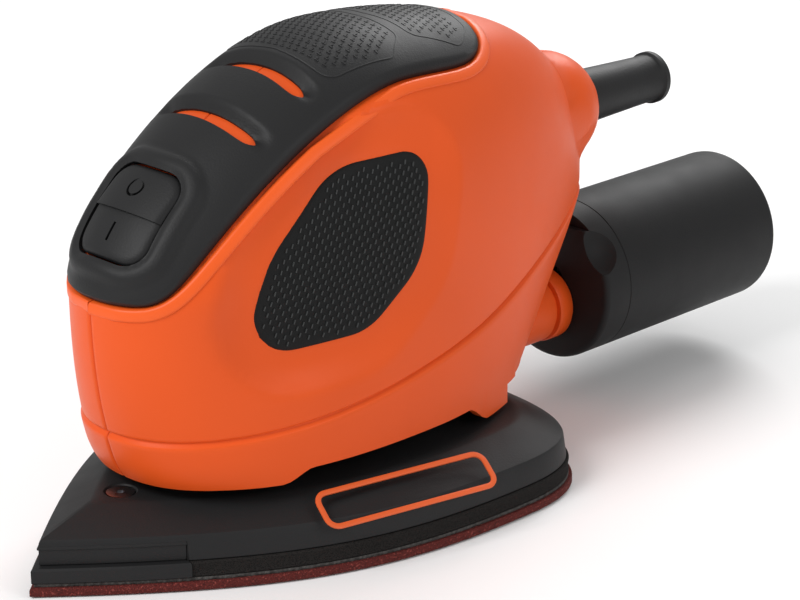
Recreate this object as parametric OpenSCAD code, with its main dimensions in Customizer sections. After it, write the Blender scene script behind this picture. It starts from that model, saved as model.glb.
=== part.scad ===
// Detail mouse sander: palm-grip orbital sander with a flat-iron shaped base and a dust canister.
// Millimetres, +Z up. The tip points along -Y, the cord and canister leave along +Y,
// and +X is the tool's left side. The origin is the motor axis on the sanding plane.

/* [Base] */
// Distance from the motor axis to the pointed tip
tip_y = 85; // [80:0.5:88]
// Distance from the motor axis to the rear edge of the base
rear_y = 55; // [53:0.5:56]
// Half width of the base where it is widest
base_half_w = 47.5; // [45.5:0.5:48]
// Thickness of the abrasive sheet with its loop backing
sheet_t = 2; // [1.6:0.1:2.2]
// Height of the top of the foam pad
foam_top = 6.5; // [6:0.1:7]
// Height of the upper edge of the platen
platen_edge = 12.5; // [12:0.1:13]
// Height of the flat crown of the platen
platen_top = 17; // [16.5:0.1:17.2]

/* [Drive] */
// Offset of the eccentric pin, half of the orbit diameter
orbit = 0.75; // [0.5:0.05:0.9]
// Outer radius of the stator
stator_r = 24; // [22:0.5:25]
// Radius of the motor shaft
shaft_r = 4; // [4]
// Number of fan blades
fan_blades = 16; // [8:1:18]

/* [Housing] */
// Half width of the housing at its middle
body_half_w = 32.5; // [31:0.5:33]
// How far the housing reaches forward of its core
reach_front = 73.5; // [73:0.5:74]
// How far the housing reaches above its core
reach_top = 49.5; // [49:0.5:50.5]
// How far the housing reaches behind its core
reach_rear = 78; // [76:0.5:79]
// How far the housing would reach below its core without its open rim
reach_bottom = 80; // [78:0.5:82]
// Wall thickness of the housing
wall = 2.4; // [2:0.1:2.8]
// Thickness of the black cover and of the side grips
skin = 1.6; // [1.4:0.1:1.8]

/* [Rocker] */
// Width of the rocker
rocker_w = 21; // [19:0.5:22]
// Length of the rocker along the housing
rocker_l = 22; // [20:0.5:23]

/* [Cord sleeve] */
// Height of the cord sleeve's axis
sleeve_z = 77; // [76:0.5:78]
// Radius of the cord passage
cord_r = 3.6; // [3:0.1:4]

/* [Dust canister] */
// Outer radius of the canister
canister_r = 20; // [19:0.1:20]
// Height of the canister's axis
canister_z = 30.5; // [29:0.5:31]
// Height of the dust port's axis
port_z = 25.5; // [25:0.5:27]
// Outer radius of the dust port
port_r = 9.2; // [9:0.1:9.4]

/* [Hidden] */

orange = [0.92, 0.36, 0.14];
black = [0.16, 0.16, 0.17];
steel = [0.72, 0.73, 0.75];
copper = [0.72, 0.38, 0.2];
big = 200;
seam = 0.05;

// ---- housing surface -------------------------------------------------------------------
// The housing is a pillow. Seen from the side its outline is four quarter curves round a core,
// and that outline is drawn in towards the core as it nears each side.
core_y = 8;
core_z = 62;
outline_steps = 12;
side_rings = 8;

// How full each quarter of the side outline is: 0.55 is a quarter ellipse, 1 is nearly square.
full_rear_top = 0.64;
full_front_top = 0.39;
full_front_bottom = 0.66;
full_rear_bottom = 0.2;

// How square the cross sections are towards each end: 2 is an ellipse.
square_rear = 1.9;
square_top = 2.4;
square_front = 2.1;
square_bottom = 3;

// How much the sides flare above and below the core, and narrow towards the tail.
flare = 0.1;
flare_height = 50;
tail = 0.08;
tail_length = 80;

function bezier(a, b, c, d, t) = a * pow(1 - t, 3) + 3 * b * t * pow(1 - t, 2) + 3 * c * t * t * (1 - t)
    + d * pow(t, 3);
function quarter(from, to, full) = [for (i = [0 : outline_steps - 1])
    bezier(from, from + full * to, to + full * from, to, i / outline_steps)];
rear = [reach_rear, 0];
top = [0, reach_top];
front = [-reach_front, 0];
bottom = [0, -reach_bottom];
pillow_outline = concat(quarter(rear, top, full_rear_top), quarter(top, front, full_front_top),
    quarter(front, bottom, full_front_bottom), quarter(bottom, rear, full_rear_bottom));

function squareness(angle) = let (c = cos(angle), s = sin(angle))
    c * c * (c > 0 ? square_rear : square_front) + s * s * (s > 0 ? square_top : square_bottom);
function width_factor(y, z) = let (u = (z - core_z) / flare_height, v = (y - core_y) / tail_length)
    1 + flare * u * u - tail * v;
// A point on the pillow: arm is its place on the side outline, s runs from -1 to 1 across.
function pillow_point(arm, s, inset) = let (
    reach = norm(arm),
    power = squareness(atan2(arm[1], arm[0])),
    shrink = pow(1 - pow(abs(s), power), 1 / power) * (reach - inset) / reach,
    y = core_y + arm[0] * shrink,
    z = core_z + arm[1] * shrink)
    [s * (body_half_w - inset) * width_factor(y, z), y, z];

// A closed skin over a stack of rings, each with the same number of points.
module loft(rings) {
    n = len(rings[0]);
    m = len(rings);
    points = [for (r = rings) for (p = r) p];
    sides = [for (i = [0 : m - 2], j = [0 : n - 1]) let (a = i * n + j, b = i * n + (j + 1) % n)
        each [[a, b + n, b], [a, a + n, b + n]]];
    start_cap = [[for (j = [0 : n - 1]) j]];
    end_cap = [[for (j = [n - 1 : -1 : 0]) (m - 1) * n + j]];
    polyhedron(points = points, faces = concat(start_cap, sides, end_cap), convexity = 6);
}

// The whole housing shape, smaller all round by inset.
module pillow(inset) {
    n = len(pillow_outline);
    turns = [for (i = [1 - side_rings : side_rings - 1]) sin(90 * i / side_rings)];
    m = len(turns);
    end_x = (body_half_w - inset) * width_factor(core_y, core_z);
    points = concat([for (s = turns) for (p = pillow_outline) pillow_point(p, s, inset)],
        [[-end_x, core_y, core_z], [end_x, core_y, core_z]]);
    sides = [for (i = [0 : m - 2], j = [0 : n - 1]) let (a = i * n + j, b = i * n + (j + 1) % n)
        each [[a, b + n, b], [a, a + n, b + n]]];
    left_fan = [for (j = [0 : n - 1]) [n * m, j, (j + 1) % n]];
    right_fan = [for (j = [0 : n - 1]) let (k = (m - 1) * n) [n * m + 1, k + (j + 1) % n, k + j]];
    polyhedron(points = points, faces = concat(left_fan, sides, right_fan), convexity = 6);
}

// ---- shapes that mark out the housing ---------------------------------------------------
chin_z = 20;
side_gap_z = 23;
heel_z = 18.5;

// Everything under the housing's lower rim.
module below_rim() {
    rim = [[-big, -big], [-big, chin_z], [-36, chin_z], [-29, side_gap_z], [19, side_gap_z],
        [25, heel_z], [big, heel_z], [big, -big]];
    rotate([90, 0, 90]) linear_extrude(height = big, center = true) polygon(rim);
}

cover_start = 54;
cover_end = 179;
cover_steps = 25;
function cover_half_width(angle) = let (
    middle = (cover_start + cover_end) / 2,
    e = (angle - middle) / (cover_end - cover_start) * 2,
    rounding = pow(max(0.001, 1 - pow(abs(e), 8)), 1 / 8))
    (23 - 0.0006 * pow(angle - 100, 2)) * rounding;

// A wedge that fans round the core and marks out the black cover.
module cover_wedge(grow) {
    rings = [for (k = [0 : cover_steps]) let (
        e = -cos(180 * k / cover_steps),
        angle = (cover_start + cover_end) / 2 + e * (cover_end - cover_start + 2 * grow) / 2,
        half = max(6, cover_half_width((cover_start + cover_end) / 2
            + e * (cover_end - cover_start) / 2)) + grow,
        y = cos(angle),
        z = sin(angle))
        [[-half, core_y + 25 * y, core_z + 25 * z], [half, core_y + 25 * y, core_z + 25 * z],
            [half, core_y + 95 * y, core_z + 95 * z], [-half, core_y + 95 * y, core_z + 95 * z]]];
    loft(rings);
}

// The rocker's own axes: its middle lies on the skin, local Z points out, local Y up the skin.
rocker_y = -54;
rocker_z = 80;
rocker_tilt = 56;
module on_rocker() {
    translate([0, rocker_y, rocker_z]) rotate([rocker_tilt, 0, 0]) children();
}
module rocker_prism(w, l, r, low, high) {
    on_rocker() translate([0, 0, low]) linear_extrude(height = high - low)
        hull() for (x = [-1, 1], y = [-1, 1]) translate([x * (w / 2 - r), y * (l / 2 - r)])
            circle(r = r, $fn = 24);
}

// Corners of the side grip before they are rounded, seen from the side.
grip_corners = [[9, 89], [4, 62], [-12, 50], [-46, 50], [-21, 89]];
grip_round = 10;
module grip_prism(grow, side) {
    scale([side, 1, 1]) rotate([90, 0, 90]) linear_extrude(height = big)
        offset(delta = grow) offset(r = grip_round, $fn = 32) offset(delta = -grip_round)
            polygon(grip_corners);
}

slot_half = 16;
// A vent slot in the cover, a crescent whose tips droop to the front.
module vent_slot(angle, width) {
    n = 8;
    droop = 2.5;
    top = [for (i = [-n : n]) let (q = i / n) [q * slot_half, droop * q * q - width * (1 - q * q) / 2]];
    low = [for (i = [n - 1 : -1 : 1 - n]) let (q = i / n)
        [q * slot_half, droop * q * q + width * (1 - q * q) / 2]];
    translate([0, core_y, core_z]) rotate([angle - 90, 0, 0]) mirror([0, 1, 0])
        linear_extrude(height = 70) polygon(concat(top, low));
}

gland_y = 77;
gland_r = 14.5;
port_end = 86;
port_root = 50;
port_bore = 7.4;
sleeve_r = 6.9;
leg_spots = [[-12, -43], [12, -43], [-21, 33], [21, 33]];
leg_r = 4;
rib_z = 32;
rib_t = 3;
motor_r = stator_r + 1.6;
core_low = 44;
core_high = 66;
seat_low = 87;

screw_spots = [[-46, 44], [48, 92], [60, 44], [-30, 90]];
screw_boss_r = 4;

// The pillow with the round cord gland at its tail, hollow all through.
module outer_wall() {
    difference() {
        union() {
            pillow(0);
            translate([0, gland_y, sleeve_z]) sphere(r = gland_r, $fn = 28);
        }
        union() {
            pillow(wall);
            translate([0, gland_y, sleeve_z]) sphere(r = gland_r - wall, $fn = 28);
        }
    }
}

// Two floors that hold the motor, the upper bearing's seat, the cord stop and the screw bosses.
module inner_ribs() {
    intersection() {
        pillow(1);
        union() {
            translate([-big / 2, -big / 2, rib_z]) cube([big, big, rib_t]);
            translate([-big / 2, -30, core_high + 0.5]) cube([big, 75, rib_t]);
            translate([-12, -12, seat_low]) cube([24, 24, 30]);
            translate([-8, 66, sleeve_z - 12]) cube([16, 8, 24]);
            across_at_screws(screw_boss_r, big);
        }
    }
}
module across_at_screws(r, length) {
    for (p = screw_spots) translate([-big / 2, p[0], p[1]]) rotate([0, 90, 0])
        cylinder(r = r, h = length, $fn = 16);
}
module motor_room() {
    translate([0, 0, -1]) cylinder(r = motor_r + 2, h = core_high + 1.5, $fn = 48);
    translate([0, 0, core_high]) cylinder(r = 21, h = seat_low - core_high, $fn = 48);
    translate([-26, -12.5, core_high]) cube([52, 25, rib_t + 1]);
    translate([0, 0, seat_low - 1]) cylinder(r = 8.05, h = 6.2, $fn = 48);
    translate([0, 0, seat_low]) cylinder(r = 5, h = 9, $fn = 32);
}

// Both halves of the housing in one piece, before it is split along the middle.
module clamshell() {
    difference() {
        union() {
            difference() {
                union() {
                    outer_wall();
                    inner_ribs();
                }
                below_rim();
            }
            translate([0, port_root, port_z]) rotate([-90, 0, 0])
                cylinder(r = port_r, h = port_end - port_root, $fn = 48);
        }
        motor_room();
        for (p = leg_spots) translate([p[0], p[1], 10]) cylinder(r = leg_r + 0.1, h = 30, $fn = 24);
        translate([0, 20, port_z]) rotate([-90, 0, 0]) cylinder(r = port_bore, h = 80, $fn = 40);
        translate([0, 50, sleeve_z]) rotate([-90, 0, 0]) cylinder(r = sleeve_r + 0.2, h = 60, $fn = 40);
        across_at_screws(1.6, big / 2 + 12);
        across_at_screws(3.2, big / 2 - 12);
        difference() {
            cover_wedge(0.15);
            pillow(skin + 0.1);
        }
        for (side = [-1, 1]) difference() {
            grip_prism(0.15, side);
            pillow(skin + 0.1);
        }
        rocker_prism(rocker_w + 1.4, rocker_l + 1.4, 5.7, -9, 10);
    }
}

// resize with no target keeps the size and asks for one joined mesh.
module housing_half(side) {
    color(orange) resize([0, 0, 0]) intersection() {
        clamshell();
        translate([side * (big / 2 + seam), 0, 0]) cube([big, 2 * big, 2 * big], center = true);
    }
}
module housing_left() { housing_half(1); }
module housing_right() { housing_half(-1); }

module top_cover() {
    color(black) resize([0, 0, 0]) difference() {
        intersection() {
            pillow(0);
            cover_wedge(0);
        }
        pillow(skin);
        rocker_prism(rocker_w + 1.2, rocker_l + 1.2, 5.6, -9, 10);
        vent_slot(138.5, 3.4);
        vent_slot(120, 5);
    }
}

module grip_pad(side) {
    color(black) resize([0, 0, 0]) difference() {
        intersection() {
            pillow(0.3);
            grip_prism(0, side);
        }
        pillow(skin);
    }
}
module grip_pad_left() { grip_pad(1); }
module grip_pad_right() { grip_pad(-1); }

module housing_screws() {
    color(steel) for (p = screw_spots) translate([-12.2, p[0], p[1]]) rotate([0, 90, 0]) {
        cylinder(r = 1.45, h = 22, $fn = 24);
        translate([0, 0, -1.8]) difference() {
            cylinder(r = 2.9, h = 1.8, $fn = 32);
            translate([0, 0, -0.1]) cylinder(r = 1.2, h = 1.1, $fn = 6);
        }
    }
}

// ---- base --------------------------------------------------------------------------------
tip_half_angle = 42;
widest_y = 24;
side_fullness = 0.8;
rear_fullness = 0.75;
outline_n = 12;
// One stretch of the outline: it leaves from and reaches to heading for the same corner.
function bend(from, corner, to, full) = let (
    b = from + full * (corner - from),
    c = to + full * (corner - to))
    [for (i = [0 : outline_n - 1]) bezier(from, b, c, to, i / outline_n)];
// Right half of the base outline from the tip to the middle of the rear edge, drawn in by inset.
function half_base(inset) = let (
    tip = [0, -tip_y + inset / sin(tip_half_angle)],
    w = base_half_w - inset,
    shoulder = [w, tip[1] + w / tan(tip_half_angle)],
    widest = [w, widest_y],
    back = [0, rear_y - inset])
    concat(bend(tip, shoulder, widest, side_fullness),
        bend(widest, [w, back[1]], back, rear_fullness), [back]);
function base_outline(inset) = let (right = half_base(inset), n = len(right))
    concat(right, [for (i = [n - 2 : -1 : 1]) [-right[i][0], right[i][1]]]);
function at_height(outline, z) = [for (p = outline) [p[0], p[1], z]];

dust_holes = [[0, -34], [-24, -12], [24, -12], [-30, 14], [30, 14], [-18, 36], [18, 36]];
dust_hole_r = 4.5;
tip_line = -57.5;
tip_screw_y = -59;
module tip_area(grow) {
    translate([0, tip_line + grow - big / 2, 0]) cube([big, big, big], center = true);
}
module base_slab(inset, low, high) {
    translate([0, 0, low]) linear_extrude(height = high - low) polygon(base_outline(inset));
}
module through_holes(r, low, high) {
    for (p = dust_holes) translate([p[0], p[1], low]) cylinder(r = r, h = high - low, $fn = 32);
}

module sanding_sheet() {
    color([0.33, 0.12, 0.1]) difference() {
        base_slab(0, 0, sheet_t);
        through_holes(dust_hole_r, -1, sheet_t + 1);
    }
}
module hook_layer() {
    color([0.1, 0.1, 0.1]) difference() {
        base_slab(0.8, sheet_t, sheet_t + 0.8);
        through_holes(dust_hole_r, 0, 5);
    }
}
module foam_pad() {
    color([0.13, 0.11, 0.11]) difference() {
        base_slab(0.8, sheet_t + 0.8, foam_top);
        through_holes(dust_hole_r, 0, 10);
        tip_area(0.1);
    }
}

edge_inset = 2;
crown_inset = 12;
hub_r = 15;
bearing_r = 11;
bearing_low = 9.5;
bearing_t = 7;
label_tilt = 35;
flank_turn = 12;
flank_middle = [40, -10, 15];
// Flat flank cut along each side of the platen, where the plain outlined panel sits.
module flank_cut(side) {
    scale([side, 1, 1]) translate(flank_middle) rotate([0, label_tilt, -flank_turn])
        translate([0, 0, 10]) cube([26, 48, 20], center = true);
}
module platen() {
    color(black) difference() {
        union() {
            difference() {
                loft([at_height(base_outline(1.4), foam_top), at_height(base_outline(edge_inset), platen_edge),
                    at_height(base_outline(crown_inset), platen_top)]);
                loft([at_height(base_outline(5.5), foam_top + 2),
                    at_height(base_outline(6), platen_edge - 2),
                    at_height(base_outline(crown_inset + 2), platen_top - 2.6)]);
                flank_cut(1);
                flank_cut(-1);
            }
            translate([orbit, 0, foam_top]) cylinder(r = hub_r, h = platen_top - foam_top, $fn = 64);
            translate([0, tip_screw_y, foam_top]) cylinder(r = 5, h = platen_top - foam_top - 1, $fn = 32);
        }
        translate([orbit, 0, bearing_low]) cylinder(r = bearing_r, h = 20, $fn = 64);
        translate([orbit, 0, 0]) cylinder(r = 7, h = 20, $fn = 48);
        through_holes(dust_hole_r, 0, 14);
        translate([0, tip_screw_y, 0]) cylinder(r = 1.8, h = 30, $fn = 24);
        translate([0, tip_screw_y, platen_top - 2]) cylinder(r1 = 1.8, r2 = 4.8, h = 3, $fn = 32);
        translate([0, tip_line - big / 2, 0]) cube([big, big, 22], center = true);
    }
}
// Replaceable nose block under the front of the platen, with a lower ledge that stands proud.
module tip_holder() {
    color(black) difference() {
        union() {
            intersection() {
                base_slab(2, foam_top, 11);
                tip_area(-0.2);
            }
            intersection() {
                base_slab(0.4, sheet_t + 0.8, foam_top);
                tip_area(-0.2);
            }
        }
        translate([0, tip_screw_y, 0]) cylinder(r = 1.4, h = 30, $fn = 24);
        translate([0, tip_screw_y, 0]) cylinder(r = 3, h = 5, $fn = 24);
    }
}
module tip_screw() {
    color(steel) translate([0, tip_screw_y, 0]) difference() {
        union() {
            translate([0, 0, 6]) cylinder(r = 1.35, h = platen_top - 7, $fn = 24);
            translate([0, 0, platen_top - 1.4]) cylinder(r1 = 1.35, r2 = 3.2, h = 1.2, $fn = 32);
        }
        translate([0, 0, platen_top - 0.9]) cylinder(r = 0.9, h = 2, $fn = 6);
    }
}

// ---- drive -------------------------------------------------------------------------------
module ring(r_out, r_in, low, high) {
    translate([0, 0, low]) difference() {
        cylinder(r = r_out, h = high - low, $fn = 64);
        translate([0, 0, -1]) cylinder(r = r_in, h = high - low + 2, $fn = 48);
    }
}
running = 0.05;
module platen_bearing() {
    color(steel) translate([orbit, 0, 0])
        ring(bearing_r, shaft_r + running, bearing_low, bearing_low + bearing_t);
}
shaft_low = 22;
fan_low = 20.5;
fan_high = 28.5;
// Hub on the shaft with an offset pin below and a balance weight on the other side.
module eccentric_hub() {
    color([0.6, 0.6, 0.62]) union() {
        difference() {
            translate([0, 0, 18.2]) cylinder(r = 8, h = 11.8, $fn = 64);
            translate([0, 0, shaft_low]) cylinder(r = shaft_r, h = 12, $fn = 48);
        }
        translate([orbit, 0, bearing_low - 0.5]) cylinder(r = shaft_r, h = 8.9, $fn = 48);
        translate([orbit, 0, bearing_low + bearing_t + 0.2]) cylinder(r = 5.5, h = 1.7, $fn = 48);
    }
}
module bearing_screw() {
    color(steel) translate([orbit, 0, 0]) {
        translate([0, 0, bearing_low - 1.9]) cylinder(r = 5.4, h = 1.3, $fn = 48);
        translate([0, 0, bearing_low - 2.8]) cylinder(r = 3.4, h = 0.9, $fn = 6);
    }
}
module dust_fan() {
    color([0.2, 0.2, 0.21]) difference() {
        union() {
            translate([0, 0, fan_high - 1.6]) cylinder(r = 22.5, h = 1.6, $fn = 64);
            translate([0, 0, fan_low]) cylinder(r = 10, h = fan_high - fan_low, $fn = 64);
            for (i = [0 : fan_blades - 1]) rotate([0, 0, i * 360 / fan_blades])
                translate([9, -0.6, fan_low]) cube([13, 1.2, fan_high - fan_low - 1]);
            intersection() {
                translate([0, 0, fan_low]) cylinder(r = 20, h = fan_high - fan_low - 1, $fn = 64);
                translate([-24, -8, fan_low]) cube([16, 16, 20]);
            }
        }
        cylinder(r = 8, h = 40, $fn = 64);
    }
}
module motor_shaft() {
    color(steel) translate([0, 0, shaft_low]) cylinder(r = shaft_r, h = 72, $fn = 48);
}
module armature_core() {
    color([0.5, 0.5, 0.52]) difference() {
        translate([0, 0, core_low]) cylinder(r = 14, h = core_high - core_low, $fn = 64);
        translate([0, 0, core_low - 1]) cylinder(r = shaft_r, h = 40, $fn = 48);
        for (i = [0 : 11]) rotate([0, 0, i * 30]) translate([10, -0.9, core_low - 1]) cube([5, 1.8, 40]);
    }
}
module armature_windings() {
    color(copper) {
        ring(12, shaft_r, core_low - 5, core_low);
        ring(12, shaft_r, core_high, core_high + 5);
    }
}
comm_low = 73;
comm_high = 83;
module commutator() {
    color(copper) difference() {
        union() {
            translate([0, 0, comm_low]) cylinder(r = 8, h = comm_high - comm_low, $fn = 64);
            translate([0, 0, comm_low]) cylinder(r = 9, h = 1.5, $fn = 64);
        }
        translate([0, 0, comm_low - 1]) cylinder(r = shaft_r, h = 20, $fn = 48);
        for (i = [0 : 11]) rotate([0, 0, i * 30]) translate([7.4, -0.25, comm_low + 1.5])
            cube([2, 0.5, 20]);
    }
}
module lower_bearing() { color(steel) ring(11, shaft_r + running, 31, 38); }
module upper_bearing() { color(steel) ring(8, shaft_r + running, 87, 92); }
module bearing_plate() {
    color([0.62, 0.63, 0.65]) difference() {
        union() {
            ring(motor_r + 1.8, 11, 33, 35.5);
            ring(13.5, 11, 31, 38);
        }
        for (a = [45 : 90 : 315]) rotate([0, 0, a]) translate([19, 0, 30])
            cylinder(r = 3, h = 10, $fn = 32);
    }
}
coil_x = 18;
module stator_core() {
    color([0.45, 0.45, 0.47]) difference() {
        translate([0, 0, core_low]) cylinder(r = stator_r, h = core_high - core_low, $fn = 96);
        translate([0, 0, core_low - 1]) cylinder(r = 14.6, h = 40, $fn = 96);
        for (s = [-1, 1]) translate([s * coil_x, 0, core_low + 10]) cube([5, 24, 40], center = true);
    }
}
module field_coils() {
    core_h = core_high - core_low;
    color(copper) for (s = [-1, 1]) translate([s * coil_x, 0, core_low + core_h / 2]) difference() {
        cube([4.6, 23.6, core_h + 8], center = true);
        cube([8, 15, core_h + 0.4], center = true);
    }
}
module brush_holders() {
    color([0.78, 0.64, 0.3]) for (s = [0, 180]) rotate([0, 0, s]) difference() {
        translate([9.5, -4, comm_low + 2.5]) cube([13, 8, 7]);
        translate([9, -2.7, comm_low + 3.8]) cube([12, 5.4, 4.4]);
    }
}
module carbon_brushes() {
    color([0.12, 0.12, 0.12]) for (s = [0, 180]) rotate([0, 0, s])
        translate([8.2, -2.5, comm_low + 4]) cube([8, 5, 4]);
}
module brush_springs() {
    color(steel) for (s = [0, 180]) rotate([0, 0, s]) translate([16.2, 0, comm_low + 6]) rotate([0, 90, 0])
        for (i = [0 : 3]) translate([0, 0, i * 1.2 + 0.35])
            rotate_extrude($fn = 32) translate([1.5, 0]) circle(r = 0.3, $fn = 16);
}
duct_end = 45;
// Fan shroud: a low wall round the fan and a duct that leads the dust back to the port.
module fan_shroud() {
    color(black) difference() {
        union() {
            translate([0, 0, 20.4]) cylinder(r = 27.4, h = 11.4, $fn = 96);
            translate([-8, 0, 20.4]) cube([16, duct_end, 11.4]);
        }
        translate([0, 0, 19]) cylinder(r = 25.6, h = 11.2, $fn = 96);
        translate([0, 0, 19]) cylinder(r = 16, h = 20, $fn = 64);
        translate([-6.2, 20, 22]) cube([12.4, 40, 8]);
        for (i = [-6 : 6]) for (s = [0, 180]) rotate([0, 0, s + i * 8])
            translate([24, -0.9, 19]) cube([6, 1.8, 8]);
    }
}
module rubber_legs() {
    color([0.07, 0.07, 0.07]) for (p = leg_spots) translate([p[0], p[1], platen_top + 0.2])
        cylinder(r = leg_r, h = rib_z + rib_t - platen_top, $fn = 32);
}

// ---- switch and wiring pieces --------------------------------------------------------------
module switch_rocker() {
    color(black) resize([0, 0, 0]) intersection() {
        pillow(-0.1);
        rocker_prism(rocker_w, rocker_l, 5, -5.5, 10);
    }
}
module switch_body() {
    color([0.1, 0.1, 0.1]) on_rocker() translate([-9, -8, -20]) {
        cube([18, 16, 11]);
        translate([7, 6, 11]) cube([4, 4, 2.6]);
    }
}
module suppression_capacitor() {
    color([0.85, 0.75, 0.25]) translate([-7, -48, 48]) cube([14, 7, 12]);
}
module cord_clamp() {
    color(black) translate([-10, 58, sleeve_z - 6]) difference() {
        cube([20, 7, 4]);
        for (x = [3, 17]) translate([x, 3.5, -1]) cylinder(r = 1.6, h = 8, $fn = 24);
    }
}
module cord_clamp_screws() {
    color(steel) for (x = [-7, 7]) translate([x, 61.5, sleeve_z - 6]) {
        cylinder(r = 1.5, h = 4, $fn = 24);
        translate([0, 0, 4]) cylinder(r = 2.6, h = 1.6, $fn = 32);
    }
}
sleeve_start = 62.5;
sleeve_end = 120;
module cord_sleeve() {
    color([0.1, 0.1, 0.1]) translate([0, 0, sleeve_z]) rotate([-90, 0, 0]) difference() {
        union() {
            translate([0, 0, 92]) cylinder(r1 = 6.9, r2 = 6.1, h = 26, $fn = 64);
            translate([0, 0, 66]) cylinder(r = 6.9, h = 26, $fn = 64);
            translate([0, 0, sleeve_end - 2.5]) cylinder(r = 6.7, h = 2.5, $fn = 64);
            translate([0, 0, 74.2]) cylinder(r = 10, h = 3, $fn = 64);
        }
        translate([0, 0, 60]) cylinder(r = cord_r, h = 80, $fn = 48);
    }
}

// ---- dust canister ---------------------------------------------------------------------------
inlet_y = 90;
canister_end = 150;
module along_y(r, low, high) {
    translate([0, low, 0]) rotate([-90, 0, 0]) cylinder(r = r, h = high - low, $fn = 64);
}
// Front wall of the canister with the spigot that plugs into the housing's dust port.
module canister_inlet() {
    color(black) difference() {
        union() {
            translate([0, 0, canister_z]) along_y(canister_r, inlet_y - 4, inlet_y);
            translate([0, 0, canister_z]) along_y(canister_r - 1.9, inlet_y, inlet_y + 4);
            translate([0, 0, port_z]) along_y(port_bore - 0.05, 70, inlet_y);
        }
        translate([0, 0, canister_z]) along_y(canister_r - 3.7, inlet_y - 2, inlet_y + 5);
        translate([0, 0, port_z]) along_y(port_bore - 1.6, 60, inlet_y + 1);
    }
}
module canister_cup() {
    color(black) translate([0, 0, canister_z]) difference() {
        union() {
            along_y(canister_r, inlet_y + 0.1, canister_end - 1.5);
            translate([0, canister_end - 1.5, 0]) rotate([-90, 0, 0])
                cylinder(r1 = canister_r, r2 = canister_r - 1.5, h = 1.5, $fn = 64);
        }
        along_y(canister_r - 1.8, inlet_y - 1, canister_end - 2);
    }
}
filter_end = 136;
module filter_frame() {
    color([0.15, 0.15, 0.15]) translate([0, 0, canister_z]) {
        difference() {
            along_y(canister_r - 4, inlet_y - 1.9, inlet_y + 1);
            along_y(8.5, 0, canister_end);
        }
        difference() {
            along_y(10, inlet_y + 1, filter_end);
            along_y(8.5, 0, filter_end - 1.5);
            for (a = [0 : 60 : 300]) rotate([0, a, 0]) translate([4, inlet_y + 4, -3])
                cube([8, filter_end - inlet_y - 9, 6]);
        }
    }
}
module filter_sleeve() {
    color([0.86, 0.84, 0.78]) translate([0, 0, canister_z]) difference() {
        along_y(11, inlet_y + 1, filter_end);
        along_y(10, 0, canister_end);
    }
}

sanding_sheet();
hook_layer();
foam_pad();
platen();
tip_holder();
tip_screw();
platen_bearing();
bearing_screw();
eccentric_hub();
dust_fan();
motor_shaft();
armature_core();
armature_windings();
commutator();
lower_bearing();
upper_bearing();
bearing_plate();
stator_core();
field_coils();
brush_holders();
carbon_brushes();
brush_springs();
fan_shroud();
rubber_legs();
housing_left();
housing_right();
top_cover();
grip_pad_left();
grip_pad_right();
housing_screws();
switch_rocker();
switch_body();
suppression_capacitor();
cord_clamp();
cord_clamp_screws();
cord_sleeve();
canister_inlet();
canister_cup();
filter_frame();
filter_sleeve();
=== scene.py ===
# %% [markdown]
# # A detail mouse sander
# This lesson dresses a working model of a small palm sander. The working model is fixed: its pieces, sizes and
# joints are loaded first and never moved. Every visible shell is then modelled again, finer, in the same place.
# The object is drawn in millimetres and scaled to metres as each mesh is made. +Z is up, the pointed tip looks
# along -Y, the cord leaves along +Y, and the origin is the motor's axis on the sanding face.

# %% Load the frame
import math
import bpy
import numpy as np
from mathutils import Matrix, Vector


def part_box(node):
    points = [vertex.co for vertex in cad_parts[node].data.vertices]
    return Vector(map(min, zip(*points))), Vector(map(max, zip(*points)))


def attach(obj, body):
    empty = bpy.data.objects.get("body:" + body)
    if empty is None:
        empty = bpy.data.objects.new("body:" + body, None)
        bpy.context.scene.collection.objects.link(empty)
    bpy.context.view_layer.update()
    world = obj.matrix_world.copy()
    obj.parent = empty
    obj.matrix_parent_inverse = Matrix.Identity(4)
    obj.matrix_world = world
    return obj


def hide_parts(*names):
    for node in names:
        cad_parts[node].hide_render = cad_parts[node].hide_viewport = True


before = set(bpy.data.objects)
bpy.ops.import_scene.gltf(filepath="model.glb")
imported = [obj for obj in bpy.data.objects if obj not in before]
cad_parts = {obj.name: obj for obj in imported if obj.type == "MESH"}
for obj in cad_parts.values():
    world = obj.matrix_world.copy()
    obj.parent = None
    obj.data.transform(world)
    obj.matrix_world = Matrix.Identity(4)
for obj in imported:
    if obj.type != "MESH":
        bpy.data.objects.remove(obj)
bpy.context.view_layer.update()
MM = 0.001


def low(node):
    return np.array(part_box(node)[0]) / MM


def high(node):
    return np.array(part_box(node)[1]) / MM


# %% [markdown]
# ## The stage
# A long lens keeps the sander's proportions. It looks down a little at the near front corner. The floor is a
# plain pale sheet. Three large soft lights do the work: one above and in front, one low fill and one behind.

# %% Camera
LOOK_AT = Vector((0.015, 0.013, 0.047))
DISTANCE = 0.6
AZIMUTH = math.radians(45)
ELEVATION = math.radians(20)

camera_data = bpy.data.cameras.new("camera")
camera_data.lens = 117
camera_data.sensor_width = 36
camera = bpy.data.objects.new("camera", camera_data)
bpy.context.scene.collection.objects.link(camera)
backward = Vector((math.sin(AZIMUTH) * math.cos(ELEVATION), -math.cos(AZIMUTH) * math.cos(ELEVATION),
                   math.sin(ELEVATION)))
camera.location = LOOK_AT + DISTANCE * backward
camera.rotation_euler = (-backward).to_track_quat("-Z", "Y").to_euler()
bpy.context.scene.camera = camera
print("camera", tuple(camera.location))


# %% Lights and world
def soft_light(name, place, size, power):
    data = bpy.data.lights.new(name, "AREA")
    data.shape = "DISK"
    data.size = size
    data.energy = power
    light = bpy.data.objects.new(name, data)
    bpy.context.scene.collection.objects.link(light)
    light.location = place
    light.rotation_euler = (Vector((0, 0, 0.05)) - Vector(place)).to_track_quat("-Z", "Y").to_euler()
    return light


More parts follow.
